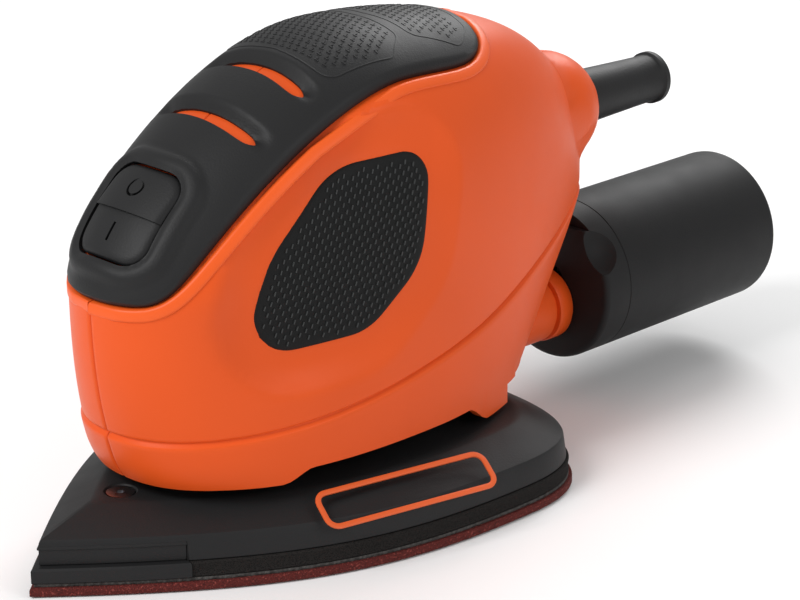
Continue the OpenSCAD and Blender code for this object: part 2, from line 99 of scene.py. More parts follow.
soft_light("key_light", (-0.05, -0.75, 0.75), 0.5, 6.5)
soft_light("side_light", (0.85, 0.15, 0.5), 0.45, 1.5)
soft_light("back_light", (-0.35, 0.75, 0.65), 0.5, 5)
world = bpy.data.worlds.new("studio")
bpy.context.scene.world = world
world.use_nodes = True
world.node_tree.nodes["Background"].inputs["Color"].default_value = (1, 1, 1, 1)
world.node_tree.nodes["Background"].inputs["Strength"].default_value = 0.5
bpy.context.scene.view_settings.view_transform = "Standard"
print("lights", len(bpy.data.lights))

# %% [markdown]
# ## Shader maths in plain Python
# A material is a graph of small nodes. Wrapping a socket in a class lets the maths between them be written as
# an expression, so that `rough + 0.1 * grain` adds its two Math nodes by itself.


# %% Values and finishes
class Value:
    """One number that varies over a surface."""

    def __init__(self, finish, socket):
        self.finish = finish
        self.socket = socket

    def maths(self, operation, first, second):
        return self.finish.node("Math", {"operation": operation}, {0: first, 1: second})

    def __add__(self, other):
        return self.maths("ADD", self, other)

    def __sub__(self, other):
        return self.maths("SUBTRACT", self, other)

    def __rsub__(self, other):
        return self.maths("SUBTRACT", other, self)

    def __mul__(self, other):
        return self.maths("MULTIPLY", self, other)

    def above(self, edge, softness):
        """0 below the edge and 1 above it, with a soft step between."""
        return self.finish.node("MapRange", {"interpolation_type": "SMOOTHSTEP"},
                                {"Value": self, "From Min": edge - softness, "From Max": edge + softness})

    __radd__ = __add__
    __rmul__ = __mul__


class Finish:
    """A material being made, with its Principled shader."""

    def __init__(self, name, roughness, metallic=0.0, specular=0.5):
        self.material = bpy.data.materials.new(name)
        self.material.use_nodes = True
        self.tree = self.material.node_tree
        self.shader = self.tree.nodes["Principled BSDF"]
        self.shader.inputs["Roughness"].default_value = roughness
        self.shader.inputs["Metallic"].default_value = metallic
        self.shader.inputs["Specular IOR Level"].default_value = specular
        self.place = self.node("TexCoord", {}, {}, "Object")

    def plug(self, socket, value):
        if isinstance(value, Value):
            self.tree.links.new(value.socket, socket)
        else:
            socket.default_value = value

    def node(self, kind, settings, sockets, output=0):
        made = self.tree.nodes.new("ShaderNode" + kind)
        for key, value in settings.items():
            setattr(made, key, value)
        for key, value in sockets.items():
            self.plug(made.inputs[key], value)
        return Value(self, made.outputs[output])

    def noise(self, size_mm, detail=2.0, stretch=(1, 1, 1)):
        scaled = self.node("Mapping", {}, {"Vector": self.place, "Scale": stretch})
        return self.node("TexNoise", {}, {"Vector": scaled, "Scale": 1000 / size_mm, "Detail": detail})

    def cells(self, size_mm):
        return self.node("TexVoronoi", {}, {"Vector": self.place, "Scale": 1000 / size_mm})

    def between(self, mask, first, second):
        mix = self.tree.nodes.new("ShaderNodeMix")
        mix.data_type = "RGBA"
        self.plug(mix.inputs[0], mask)
        self.plug(mix.inputs[6], (*first, 1) if isinstance(first, tuple) else first)
        self.plug(mix.inputs[7], (*second, 1) if isinstance(second, tuple) else second)
        return Value(self, mix.outputs[2])

    def feed(self, name, value):
        self.plug(self.shader.inputs[name], value)

    def bump(self, height, depth_mm, strength=1.0):
        lifted = self.node("Bump", {}, {"Height": height, "Distance": depth_mm * MM, "Strength": strength})
        self.feed("Normal", lifted)


# %% [markdown]
# ## The finishes
# The moulded plastics have a fine spark-eroded grain, a slow change of tone over a hand's width and a little
# unevenness in their gloss. Rubber is duller with a coarser grain, foam is open cells, the abrasive is a
# resin full of grit, and the metals show the way they were rolled, wound or turned.


# %% Plastics and rubbers
def moulded(name, colour, roughness, grain_mm, depth_mm, variation=0.07, specular=0.5):
    finish = Finish(name, roughness, specular=specular)
    dark = tuple(c * (1 - variation) for c in colour)
    light = tuple(min(1, c * (1 + variation)) for c in colour)
    slow = finish.noise(35)
    grain = finish.noise(grain_mm, detail=3)
    finish.feed("Base Color", finish.between(slow, dark, light))
    finish.feed("Roughness", roughness - 0.05 + 0.1 * finish.noise(6))
    finish.bump(grain, depth_mm)
    return finish.material


ORANGE = (0.74, 0.088, 0.01)
# The lip is moulded in the shell's own orange; this lighter copy is painted light where the raised lip catches the
# lamps.
LIP_ORANGE_PAINTED_LIGHT = (0.8, 0.105, 0.014)
BLACK = (0.013, 0.013, 0.0135)
finishes = {
    "orange_plastic": moulded("orange_plastic", ORANGE, 0.42, 0.5, 0.02, specular=0.22),
    "black_plastic": moulded("black_plastic", BLACK, 0.52, 0.45, 0.05, 0.12, 0.25),
    "canister_plastic": moulded("canister_plastic", (0.011, 0.011, 0.0115), 0.58, 0.4, 0.03, 0.12, 0.22),
    "fan_plastic": moulded("fan_plastic", (0.03, 0.03, 0.032), 0.5, 0.6, 0.04),
    "grip_rubber": moulded("grip_rubber", (0.004, 0.0042, 0.0042), 0.62, 0.35, 0.05, 0.15, 0.22),
    # The dashes are the grip's own black rubber; their lighter colour is painted highlight on the raised dashes.
    "dash_rubber_painted_highlight": moulded("dash_rubber_painted_highlight", (0.03, 0.032, 0.032), 0.5, 0.35, 0.03, 0.15, 0.4),
    "black_rubber": moulded("black_rubber", (0.008, 0.008, 0.0085), 0.55, 0.6, 0.06, 0.15, 0.35),
}
print("plastics and rubbers", len(finishes))


# %% Foam, hooks, abrasive and felt
def foam():
    finish = Finish("pad_foam", 0.95, specular=0.1)
    pores = finish.cells(0.32)
    finish.feed("Base Color", finish.between(pores.above(0.35, 0.2), (0.006, 0.006, 0.006), (0.02, 0.018, 0.017)))
    finish.bump(pores, 0.12)
    return finish.material


def hooks():
    finish = Finish("hook_nylon", 0.7, specular=0.2)
    loops = finish.cells(0.8)
    finish.feed("Base Color", finish.between(loops, (0.09, 0.085, 0.08), (0.025, 0.023, 0.022)))
    finish.bump(loops, 0.25)
    return finish.material


def abrasive():
    finish = Finish("abrasive_cloth", 0.85, specular=0.25)
    grit = finish.cells(0.35)
    fleck = finish.noise(0.5, detail=3).above(0.62, 0.04)
    red = finish.between(grit, (0.14, 0.018, 0.014), (0.045, 0.008, 0.007))
    finish.feed("Base Color", finish.between(fleck, red, (0.24, 0.05, 0.04)))
    finish.bump(grit, 0.15)
    return finish.material


def felt():
    finish = Finish("filter_felt", 0.95, specular=0.1)
    fibre = finish.noise(0.7, detail=6, stretch=(1, 0.2, 1))
    finish.feed("Base Color", finish.between(fibre, (0.5, 0.48, 0.42), (0.8, 0.78, 0.7)))
    finish.bump(fibre, 0.2)
    return finish.material


finishes["pad_foam"] = foam()
finishes["hook_nylon"] = hooks()
finishes["abrasive_cloth"] = abrasive()
finishes["filter_felt"] = felt()


# %% Metals, carbon and film
def metal(name, colour, roughness, line_mm, stretch, depth_mm=0.02):
    finish = Finish(name, roughness, metallic=1.0)
    lines = finish.noise(line_mm, detail=3, stretch=stretch)
    finish.feed("Base Color", finish.between(lines, tuple(c * 0.8 for c in colour), colour))
    finish.feed("Roughness", roughness - 0.08 + 0.16 * lines)
    finish.bump(lines, depth_mm)
    return finish.material


ROUND_LINES = (0.1, 0.1, 1)
finishes["screw_steel"] = metal("screw_steel", (0.5, 0.5, 0.52), 0.3, 0.6, (1, 1, 0.2))
finishes["bearing_steel"] = metal("bearing_steel", (0.62, 0.62, 0.64), 0.2, 0.5, ROUND_LINES)
finishes["lamination_steel"] = metal("lamination_steel", (0.32, 0.32, 0.34), 0.4, 0.6, (0.02, 0.02, 1), 0.08)
finishes["cast_alloy"] = metal("cast_alloy", (0.5, 0.5, 0.51), 0.5, 0.7, (1, 1, 1), 0.06)
finishes["copper_wire"] = metal("copper_wire", (0.7, 0.28, 0.1), 0.3, 0.7, (0.05, 0.05, 1), 0.15)
finishes["copper_bar"] = metal("copper_bar", (0.8, 0.4, 0.2), 0.25, 0.5, ROUND_LINES)
finishes["brass_sheet"] = metal("brass_sheet", (0.7, 0.52, 0.22), 0.3, 0.8, (1, 0.2, 1))
finishes["carbon"] = moulded("carbon", (0.02, 0.02, 0.022), 0.45, 0.5, 0.04)
finishes["capacitor_film"] = moulded("capacitor_film", (0.62, 0.44, 0.06), 0.4, 1.2, 0.03)
# A lighter copy of the shell's orange for the lip: painted light on the raised band.
finishes["lip_plastic_painted_light"] = moulded("lip_plastic_painted_light", LIP_ORANGE_PAINTED_LIGHT, 0.4, 0.5, 0.015, specular=0.25)
finishes["outline_paint"] = moulded("outline_paint", (0.68, 0.1, 0.015), 0.45, 0.4, 0.01)
print("finishes", len(finishes))

# %% [markdown]
# ## The housing's form
# The housing is a pillow. Seen from the side its outline is four quarter curves round a core, each as full as
# its own number says, and the outline is drawn in towards the core as it nears each side. A formula is used
# and not a sculpted mesh, because the shell, the cover, the grips and the rocker must all share one skin.

# %% The form in numbers
CORE = np.array([0.0, 8.0, 62.0])
HALF_WIDTH = 32.5
REACH_FRONT = 73.5
REACH_TOP = 49.5
REACH_REAR = 78.0
REACH_BOTTOM = 80.0
GLAND_AT = np.array([0.0, 77.0, 77.0])
GLAND_RADIUS = 14.5
GLAND_BLEND = 4.0


def quarter(start, end, full, steps=60):
    t = np.linspace(0, 1, steps, endpoint=False)[:, None]
    a, b = np.array(start, float), np.array(end, float)
    return a * (1 - t) ** 3 + 3 * (a + full * b) * t * (1 - t) ** 2 + 3 * (b + full * a) * t * t * (1 - t) + b * t ** 3


rear, top, front, bottom = (REACH_REAR, 0), (0, REACH_TOP), (-REACH_FRONT, 0), (0, -REACH_BOTTOM)
side_outline = np.concatenate([quarter(rear, top, 0.64), quarter(top, front, 0.39),
                               quarter(front, bottom, 0.66), quarter(bottom, rear, 0.2)])
outline_turn = np.unwrap(np.arctan2(side_outline[:, 1], side_outline[:, 0]))
outline_reach = np.hypot(side_outline[:, 0], side_outline[:, 1])


def reach(turn):
    return np.interp(turn, outline_turn, outline_reach, period=2 * math.pi)


def squareness(turn):
    c, s = np.cos(turn), np.sin(turn)
    return c * c * np.where(c > 0, 1.9, 2.1) + s * s * np.where(s > 0, 2.4, 3.0)


def half_width(y, z):
    return HALF_WIDTH * (1 + 0.1 * ((z - CORE[2]) / 50) ** 2 - 0.08 * (y - CORE[1]) / 80)


def pillow_depth(points):
    """Below 1 inside the pillow, 1 on its skin and more outside."""
    arm_y, arm_z = points[..., 1] - CORE[1], points[..., 2] - CORE[2]
    turn = np.arctan2(arm_z, arm_y)
    power = squareness(turn)
    out = np.hypot(arm_y, arm_z) / reach(turn)
    across = np.abs(points[..., 0]) / half_width(points[..., 1], points[..., 2])
    return (out ** power + across ** power) ** (1 / power)


print("outline points", len(side_outline))


# %% Landing points on the form
def outward(points):
    """The direction straight out of the skin at each point."""
    step = 0.2
    slopes = []
    for axis in np.eye(3):
        slopes.append(pillow_depth(points + step * axis) - pillow_depth(points - step * axis))
    normal = np.stack(slopes, -1)
    return normal / np.linalg.norm(normal, axis=-1, keepdims=True)


def land(points, direction, span=30.0):
    """Moves each point along a direction until it lies on the skin."""
    near, far = np.full(points.shape[:-1], -span), np.full(points.shape[:-1], span)
    for _ in range(30):
        middle = (near + far) / 2
        outside = pillow_depth(points + middle[..., None] * direction) > 1
        far = np.where(outside, middle, far)
        near = np.where(outside, near, middle)
    return points + near[..., None] * direction


def toward(direction):
    """The skin's point in a direction from the core, with the round cord gland blended in at the tail."""
    direction = direction / np.linalg.norm(direction, axis=-1, keepdims=True)
    start = np.broadcast_to(CORE, direction.shape)
    pillow = np.linalg.norm(land(start + 60 * direction, direction, 60.0) - start, axis=-1)
    arm = GLAND_AT - CORE
    along = direction @ arm
    under = GLAND_RADIUS ** 2 - (arm @ arm - along ** 2)
    gland = np.where((under > 0) & (along > 0), along + np.sqrt(np.maximum(under, 0)), 0)
    gap = np.clip(0.5 + 0.5 * (gland - pillow) / GLAND_BLEND, 0, 1)
    distance = pillow * (1 - gap) + gland * gap + GLAND_BLEND * gap * (1 - gap)
    return start + distance[..., None] * direction


def over_top(turn, x, lift=0.0):
    """A skin point at a turn round the side outline (degrees from +Y) and a distance x across."""
    angle = np.radians(turn)
    arm = np.stack([np.zeros_like(angle), np.cos(angle), np.sin(angle)], -1)
    sideways = np.stack([x, np.zeros_like(angle), np.zeros_like(angle)], -1)
    spots = land(CORE + sideways + 60 * arm, arm, 60.0)
    return spots + np.asarray(lift)[..., None] * outward(spots)


def on_side(y, z, lift=0.0):
    """A skin point on the +X side at a place (y, z) seen from the side."""
    spots = land(np.stack([np.full_like(y, 30.0), y, z], -1), np.array([1.0, 0, 0]))
    return spots + np.asarray(lift)[..., None] * outward(spots)


print("top of the skin", over_top(np.array([90.0]), np.array([0.0])).round(1))

# %% [markdown]
# ## Helpers for making pieces
# Most pieces start as a grid primitive. A grid has neat rows and columns, so each of its points can be sent to
# a row and a column of the shape that is wanted. Modifiers and booleans then give walls, edges and holes.


# %% Grids, modifiers and booleans
def only(piece):
    bpy.ops.object.select_all(action="DESELECT")
    piece.select_set(True)
    bpy.context.view_layer.objects.active = piece
    return piece


def finish_modifier(piece, kind, **settings):
    only(piece)
    made = piece.modifiers.new(kind.lower(), kind)
    for key, value in settings.items():
        setattr(made, key, value)
    bpy.ops.object.modifier_apply(modifier=made.name)
    return piece


def tidy_normals(piece):
    only(piece)
    bpy.ops.object.mode_set(mode="EDIT")
    bpy.ops.mesh.select_all(action="SELECT")
    bpy.ops.mesh.remove_doubles(threshold=2e-6)
    bpy.ops.mesh.delete_loose()
    bpy.ops.mesh.select_all(action="SELECT")
    bpy.ops.mesh.normals_make_consistent(inside=False)
    bpy.ops.object.mode_set(mode="OBJECT")
    return piece


def smooth(piece, angle=35):
    only(piece)
    bpy.ops.object.shade_smooth_by_angle(angle=math.radians(angle))
    return piece


def grid_piece(name, spots):
    """A grid primitive with each point sent to spots[column, row], in millimetres."""
    columns, rows = spots.shape[0] - 1, spots.shape[1] - 1
    bpy.ops.object.select_all(action="DESELECT")
    bpy.ops.mesh.primitive_grid_add(x_subdivisions=columns, y_subdivisions=rows, size=2)
    piece = bpy.context.object
    piece.name = name
    piece.data.name = name
    flat = np.empty(len(piece.data.vertices) * 3)
    piece.data.vertices.foreach_get("co", flat)
    flat = flat.reshape(-1, 3)
    column = np.rint((flat[:, 0] + 1) / 2 * columns).astype(int)
    row = np.rint((flat[:, 1] + 1) / 2 * rows).astype(int)
    piece.data.vertices.foreach_set("co", (spots[column, row] * MM).ravel())
    piece.data.update()
    return piece


def join(pieces, name):
    only(pieces[0])
    for piece in pieces[1:]:
        piece.select_set(True)
    bpy.ops.object.join()
    pieces[0].name = name
    return pieces[0]


def cut(piece, tool, operation="DIFFERENCE"):
    finish_modifier(piece, "BOOLEAN", object=tool, operation=operation, solver="EXACT")
    bpy.data.objects.remove(tool)
    return piece


def block(centre, size, turn=(0, 0, 0)):
    bpy.ops.object.select_all(action="DESELECT")
    bpy.ops.mesh.primitive_cube_add(size=1, location=[c * MM for c in centre], rotation=turn,
                                    scale=[s * MM for s in size])
    tool = bpy.context.object
    bpy.ops.object.transform_apply(location=True, rotation=True, scale=True)
    return tool


def rod(centre, radius, length, axis="Z", sides=48):
    turns = {"X": (0, math.pi / 2, 0), "Y": (math.pi / 2, 0, 0), "Z": (0, 0, 0)}
    bpy.ops.object.select_all(action="DESELECT")
    bpy.ops.mesh.primitive_cylinder_add(vertices=sides, radius=radius * MM, depth=length * MM,
                                        location=[c * MM for c in centre], rotation=turns[axis])
    tool = bpy.context.object
    bpy.ops.object.transform_apply(location=True, rotation=True, scale=True)
    return tool


def give(piece, finish, body, slot, *nodes):
    """Paints a finished piece, hangs it on its body and hides the working pieces it stands for."""
    if not piece.data.materials:
        piece.data.materials.append(finishes[finish])
    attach(piece, body)
    if nodes:
        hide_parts(*nodes)
    print(piece.name, len(piece.data.polygons), "faces")
    return piece


# %% Turned pieces and beads
def turned(name, profile, centre, axis="Y", start=0.0, end=360.0, steps=96):
    """Turns a closed profile of (along, radius) round an axis through a centre."""
    angles = np.radians(np.linspace(start, end, steps + 1))[:, None]
    along = np.array([p[0] for p in profile] + [profile[0][0]], float)[None]
    radius = np.array([p[1] for p in profile] + [profile[0][1]], float)[None]
    one, two = radius * np.sin(angles), radius * np.cos(angles)
    line = np.broadcast_to(along, one.shape)
    parts = [one, line, two] if axis == "Y" else [one, two, line]
    return tidy_normals(grid_piece(name, np.stack(parts, -1) + np.array(centre, float)))


def bead(name, path, normals, section, closed=True):
    """Sweeps a closed section of (across, up) along points that lie on a surface."""
    if closed:
        path, normals = np.concatenate([path, path[:1]]), np.concatenate([normals, normals[:1]])
        ahead = np.roll(path[:-1], -1, 0) - np.roll(path[:-1], 1, 0)
        ahead = np.concatenate([ahead, ahead[:1]])
    else:
        ahead = np.gradient(path, axis=0)
    ahead /= np.linalg.norm(ahead, axis=1, keepdims=True)
    across = np.cross(ahead, normals)
    across /= np.linalg.norm(across, axis=1, keepdims=True)
    loop = np.array(section + section[:1], float)
    spots = path[:, None] + loop[None, :, :1] * across[:, None] + loop[None, :, 1:] * normals[:, None]
    return tidy_normals(grid_piece(name, spots))


def rounded(corners, radii, steps=8):
    """A closed outline from its corners, each rounded by an arc."""
    corners = np.array(corners, float)
    radii = np.broadcast_to(radii, len(corners))
    outline = []
    for i, (corner, radius) in enumerate(zip(corners, radii)):
        to_last, to_next = corners[i - 1] - corner, corners[(i + 1) % len(corners)] - corner
        to_last, to_next = to_last / np.linalg.norm(to_last), to_next / np.linalg.norm(to_next)
        half = math.acos(np.clip(to_last @ to_next, -1, 1)) / 2
        middle = (to_last + to_next) / np.linalg.norm(to_last + to_next)
        centre = corner + middle * radius / math.sin(half)
        first = corner + to_last * radius / math.tan(half) - centre
        last = corner + to_next * radius / math.tan(half) - centre
        sweep = math.pi - 2 * half
        for t in np.linspace(0, 1, steps + 1):
            outline.append(centre + (np.sin((1 - t) * sweep) * first + np.sin(t * sweep) * last) / math.sin(sweep))
    return np.array(outline)


def evenly(outline, count):
    """The same closed outline with evenly spaced points."""
    around = np.concatenate([outline, outline[:1]])
    travelled = np.concatenate([[0], np.cumsum(np.linalg.norm(np.diff(around, axis=0), axis=1))])
    where = np.linspace(0, travelled[-1], count, endpoint=False)
    return np.stack([np.interp(where, travelled, around[:, k]) for k in range(around.shape[1])], -1)


def edge_distance(points, outline):
    """How far points lie inside an outline: positive inside and negative outside."""
    a, b = outline, np.roll(outline, -1, 0)
    flat = points.reshape(-1, 1, 2)
    t = np.clip(((flat - a) * (b - a)).sum(-1) / ((b - a) ** 2).sum(-1), 0, 1)
    gap = np.linalg.norm(flat - a - t[..., None] * (b - a), axis=-1).min(1)
    crosses = (a[:, 1] > flat[..., 1]) != (b[:, 1] > flat[..., 1])
    at = a[:, 0] + (flat[..., 1] - a[:, 1]) / (b[:, 1] - a[:, 1] + 1e-12) * (b[:, 0] - a[:, 0])
    inside = (crosses & (flat[..., 0] < at)).sum(1) % 2 == 1
    return np.where(inside, gap, -gap).reshape(points.shape[:-1])


def soft_step(x, start, end):
    t = np.clip((x - start) / (end - start), 0, 1)
    return t * t * (3 - 2 * t)


# %% [markdown]
# ## The cover's edge and the grips' outline
# The black cover runs from behind the crown down to the chin. Its edge is a formula: a half width that
# narrows a little each way, rounded at both ends by a high power. The side grip is five corners, rounded.

# %% Outlines that several pieces share
COVER_START, COVER_END = 54.0, 179.0
COVER_MIDDLE, COVER_SPAN = (COVER_START + COVER_END) / 2, (COVER_END - COVER_START) / 2
GRIP_CORNERS = [(9, 89), (4, 62), (-12, 50), (-45, 49), (-37, 71), (-18, 89)]
grip_outline = evenly(rounded(GRIP_CORNERS, (7, 16, 16, 9, 26, 18)), 120)


def cover_side(turn):
    return 23 - 0.0006 * (turn - 100) ** 2


def cover_inside(turn, x):
    """Roughly how far a place lies inside the cover's edge, in millimetres."""
    along = (turn - COVER_MIDDLE) / COVER_SPAN
    across = x / cover_side(turn)
    size = (np.abs(along) ** 8 + np.abs(across) ** 8 + 1e-12) ** 0.125
    arc = reach(np.radians(turn)) * math.radians(COVER_SPAN)
    slope = np.hypot((np.abs(along) / size) ** 7 / arc, (np.abs(across) / size) ** 7 / cover_side(turn))
    return (1 - size) / slope


def dish(y, z, in_grip):
    """How the skin dips round the side grip: a crisp crease, deepest in front of the pad and under it."""
    to_crease = np.clip(1 + in_grip / 9, 0, 1)
    towards_front = soft_step(-0.8 * (y + 12) + 0.4 * (z - 70), -26, 10)
    return -(0.9 + 2.3 * towards_front) * (1 - (1 - to_crease) ** 2)


def rim_height(y):
    front_rise = soft_step(y, -36, -29)
    heel = soft_step(y, 18, 26)
    return 20 + 3 * front_rise - 4.5 * heel


def groove_height(y):
    return 32 + 28 * np.clip((y + 64) / 142, 0, 1) ** 2


print("grip outline", grip_outline.min(0).round(1), grip_outline.max(0).round(1))

# %% The rocker's own axes
ROCKER_AT = np.array([0.0, -54.0, 80.0])
ROCKER_TILT = math.radians(56)
ROCKER_ACROSS = np.array([1.0, 0, 0])
ROCKER_UP = np.array([0.0, math.cos(ROCKER_TILT), math.sin(ROCKER_TILT)])
ROCKER_OUT = np.array([0.0, -math.sin(ROCKER_TILT), math.cos(ROCKER_TILT)])


def rounded_box_inside(x, y, width, length, radius):
    """How far inside a rounded rectangle a place is."""
    gap_x, gap_y = np.abs(x) - width / 2 + radius, np.abs(y) - length / 2 + radius
    outside = np.hypot(np.maximum(gap_x, 0), np.maximum(gap_y, 0))
    return radius - outside - np.minimum(np.maximum(gap_x, gap_y), 0)


# %% Prisms on those axes
def close_ends(piece):
    only(piece)
    bpy.ops.object.mode_set(mode="EDIT")
    bpy.ops.mesh.select_mode(type="EDGE")
    bpy.ops.mesh.select_all(action="DESELECT")
    bpy.ops.mesh.select_non_manifold()
    bpy.ops.mesh.fill_holes(sides=0)
    bpy.ops.mesh.select_all(action="SELECT")
    bpy.ops.mesh.normals_make_consistent(inside=False)
    bpy.ops.object.mode_set(mode="OBJECT")
    return piece


def rounded_block(width, length, radius, bottom_z, top_z):
    """A prism with round corners, standing on the rocker's own axes."""
    corners = [(width / 2, length / 2), (-width / 2, length / 2), (-width / 2, -length / 2), (width / 2, -length / 2)]
    ring = rounded(corners, radius)
    spots = []
    for height in (bottom_z, top_z):
        spots.append(ROCKER_AT + ring[:, :1] * ROCKER_ACROSS + ring[:, 1:] * ROCKER_UP + height * ROCKER_OUT)
    loops = np.stack(spots, 1)
    loops = np.concatenate([loops, loops[:1]])
    return close_ends(tidy_normals(grid_piece("prism", loops)))


# %% [markdown]
# ## The housing halves
# Two orange shells meet along the middle. Each is a fan of columns round the core, from the open rim at the
# bottom to the crown. The rows follow the rim, then crowd round the skirt's groove, so the groove is real
# geometry and not paint. Under the cover and the grips the shell steps in to make room for them.


# %% Rows and columns of the shell
def elevation_at(azimuth, height):
    """The elevation at which the skin reaches a height(y), in each column."""
    low_side, high_side = np.full_like(azimuth, -1.5), np.full_like(azimuth, 1.4)
    for _ in range(22):
        middle = (low_side + high_side) / 2
        spot = toward(heading(azimuth, middle))
        above = spot[..., 2] > height(spot[..., 1])
        high_side = np.where(above, middle, high_side)
        low_side = np.where(above, low_side, middle)
    return (low_side + high_side) / 2


def heading(azimuth, elevation):
    return np.stack([np.cos(elevation) * np.cos(azimuth), np.cos(elevation) * np.sin(azimuth),
                     np.sin(elevation)], -1)


seam_columns = np.array([-89.96, -89.8, -89.55, -89.0])
inner_columns = np.linspace(-87.8, 87.8, 118)
azimuth = np.radians(np.concatenate([seam_columns, inner_columns, -seam_columns[::-1]]))
rim_row = elevation_at(azimuth, rim_height)
groove_row = elevation_at(azimuth, groove_height)
tight = math.radians(0.32)
skirt_rows = [rim_row + (groove_row - 3 * tight - rim_row) * t for t in np.linspace(0, 1, 14)]
groove_rows = [groove_row + k * tight for k in (-2, -1, 0, 1, 2)]
body_rows = [groove_row + 3 * tight + (math.pi / 2 - groove_row - 3 * tight) * t for t in np.linspace(0, 1, 84)]
elevation = np.stack(skirt_rows + groove_rows + body_rows, 1)
print("shell grid", elevation.shape)

# %% Lifts that shape the shell's skin
shell = toward(heading(azimuth[:, None], elevation))
HEEL_TOP = 23.5
for column in range(len(azimuth)):
    above = np.argmax(shell[column, :, 2] > HEEL_TOP)
    straight = soft_step(shell[column, above, 1], 15, 22)
    shell[column, :above, :2] += straight * (shell[column, above, :2] - shell[column, :above, :2])
turn = np.degrees(np.arctan2(shell[..., 2] - CORE[2], shell[..., 1] - CORE[1]))
lift = np.zeros(turn.shape)
lift[:, :len(skirt_rows)] += 0.5
lift[:, len(skirt_rows)] += 0.3
lift[:, len(skirt_rows) + 1] -= 0.35
lift[:, len(skirt_rows) + 2] -= 0.55
lift[:, len(skirt_rows) + 3] -= 0.1
under_cover = cover_inside(np.clip(turn, 40, 190), shell[..., 0])
in_grip = edge_distance(shell[..., 1:], grip_outline)
lift -= 2.0 * soft_step(under_cover, -1.8, 0.3)
lift += dish(shell[..., 1], shell[..., 2], in_grip)
lift -= 1.6 * soft_step(in_grip, 1.0, 3.4)
lift[0] -= 0.5
lift[1] -= 0.2
lift[-1] -= 0.5
lift[-2] -= 0.2
chin = soft_step(-shell[..., 1], 20, 50) * np.clip((27 - shell[..., 2]) / 9, 0, 1)
lift -= 2.5 * (1 - np.sqrt(1 - 0.95 * chin ** 2))
shell = shell + lift[..., None] * outward(shell)
shell[..., 0] = np.maximum(shell[..., 0], 0.05)
print("shell box", shell.min((0, 1)).round(1), shell.max((0, 1)).round(1))

# %% [markdown]
# ### The lip round the cover, the dust port and the screw bosses
# A rounded orange lip frames the cover, with a fine groove outside it. It is swept along the cover's edge as a
# bead along each half. The dust port is turned, with a ring groove near its mouth. On the right half, short
# tubes sink from the skin to the screws.


# %% Cover edge path
def cover_edge(outside, steps=240):
    """The +X half of the cover's edge, a distance outside it, from the rear middle to the front middle."""
    angle = np.linspace(0.0, math.pi, steps)
    along = -np.sign(np.cos(angle)) * np.abs(np.cos(angle)) ** 0.25
    across = np.abs(np.sin(angle)) ** 0.25
    turn = COVER_MIDDLE + along * COVER_SPAN
    x = across * cover_side(turn)
    arc = reach(np.radians(turn)) * math.pi / 180
    path = np.stack([turn * arc.mean(), x], -1)
    ahead = np.gradient(path, axis=0)
    ahead /= np.linalg.norm(ahead, axis=1, keepdims=True) + 1e-9
    path = path + outside * np.stack([-ahead[:, 1], ahead[:, 0]], -1)
    path[:, 1] = np.maximum(path[:, 1], 0.06)
    return path[:, 0] / arc.mean(), path[:, 1]


lip_turn, lip_x = cover_edge(1.45)
lip_path = over_top(lip_turn, lip_x)
keep = np.concatenate([[True], np.linalg.norm(np.diff(lip_path, axis=0), axis=1) > 0.05])
lip_path = lip_path[keep]
LIP_SECTION = [(-1.5, -1.6), (-1.5, 0.0), (-1.3, 0.24), (-0.9, 0.32), (0.6, 0.28), (1.05, 0.12), (1.3, -0.25),
               (1.45, -1.6)]
print("lip points", len(lip_path))

# %% Build both halves
PORT_Z = 25.5
SCREW_SPOTS = [(-46, 44), (48, 92), (60, 44), (-30, 90)]
PORT_PROFILE = [(50, 7.6), (50, 9.0), (74.4, 9.0), (74.6, 8.1), (75.8, 8.1), (76.0, 9.2), (76.4, 9.4), (80.2, 9.4),
                (81, 8.8), (81, 7.6)]


def housing_half(name, node, side):
    half = grid_piece(name, shell * np.array([side, 1, 1]))
    tidy_normals(half)
    finish_modifier(half, "SOLIDIFY", thickness=2.2 * MM, offset=-1.0, use_even_offset=False)
    cut(half, rod((0, 90, GLAND_AT[2]), 7.1, 60, "Y"))
    cut(half, rod((0, 70, PORT_Z), 8.9, 60, "Y"))
    cut(half, rounded_block(21.8, 22.8, 5.4, -14, 12))
    cut(half, block((0, 66.5, 12), (100, 60, 22)))
    mirror = np.array([side, 1, 1])
    lip = close_ends(bead("lip", lip_path * mirror, outward(lip_path) * mirror, LIP_SECTION, closed=False))
    port = close_ends(turned("port", PORT_PROFILE, (0, 0, PORT_Z), start=0 if side > 0 else 180,
                             end=180 if side > 0 else 360, steps=48))
    parts = [half, lip, port]
    if side < 0:
        for y, z in SCREW_SPOTS:
            cut(half, rod((-30, y, z), 3.2, 40, "X", 32))
            around = np.linspace(0, 2 * math.pi, 24)
            wall_x = 0.8 - on_side(y + 4.2 * np.cos(around), z + 4.2 * np.sin(around))[:, 0].min()
            ring = turned("boss", [(wall_x, 3.2), (wall_x, 4.2), (-12.2, 4.2), (-12.2, 3.2)],
                          (0, 0, 0), axis="Z", steps=32)
            ring.data.transform(Matrix.Rotation(math.pi / 2, 4, "Y"))
            ring.data.transform(Matrix.Translation(Vector((0, y * MM, z * MM))))
            parts.append(ring)
    for part in parts:
        part.data.materials.clear()
        # The lip takes the lighter copy of the orange, which is painted light; the rest of the half takes the plain
        # orange.
        part.data.materials.append(finishes["lip_plastic_painted_light" if part is lip else "orange_plastic"])
    joined = join(parts, name)
    smooth(joined, 40)
    return give(joined, "orange_plastic", "housing", "orange_plastic", node)


left_shell = housing_half("shell_left", "housing_left", 1)
right_shell = housing_half("shell_right", "housing_right", -1)

# %% [markdown]
# ## The top cover
# The cover is a black moulding with a soft texture. Its grid runs along the side outline and across it. The
# outermost rows roll down to a neat edge, a low bezel rises round the rocker, and two scoops lead the eye into
# the vent slots, which are cut right through so that the orange shell shows behind them.

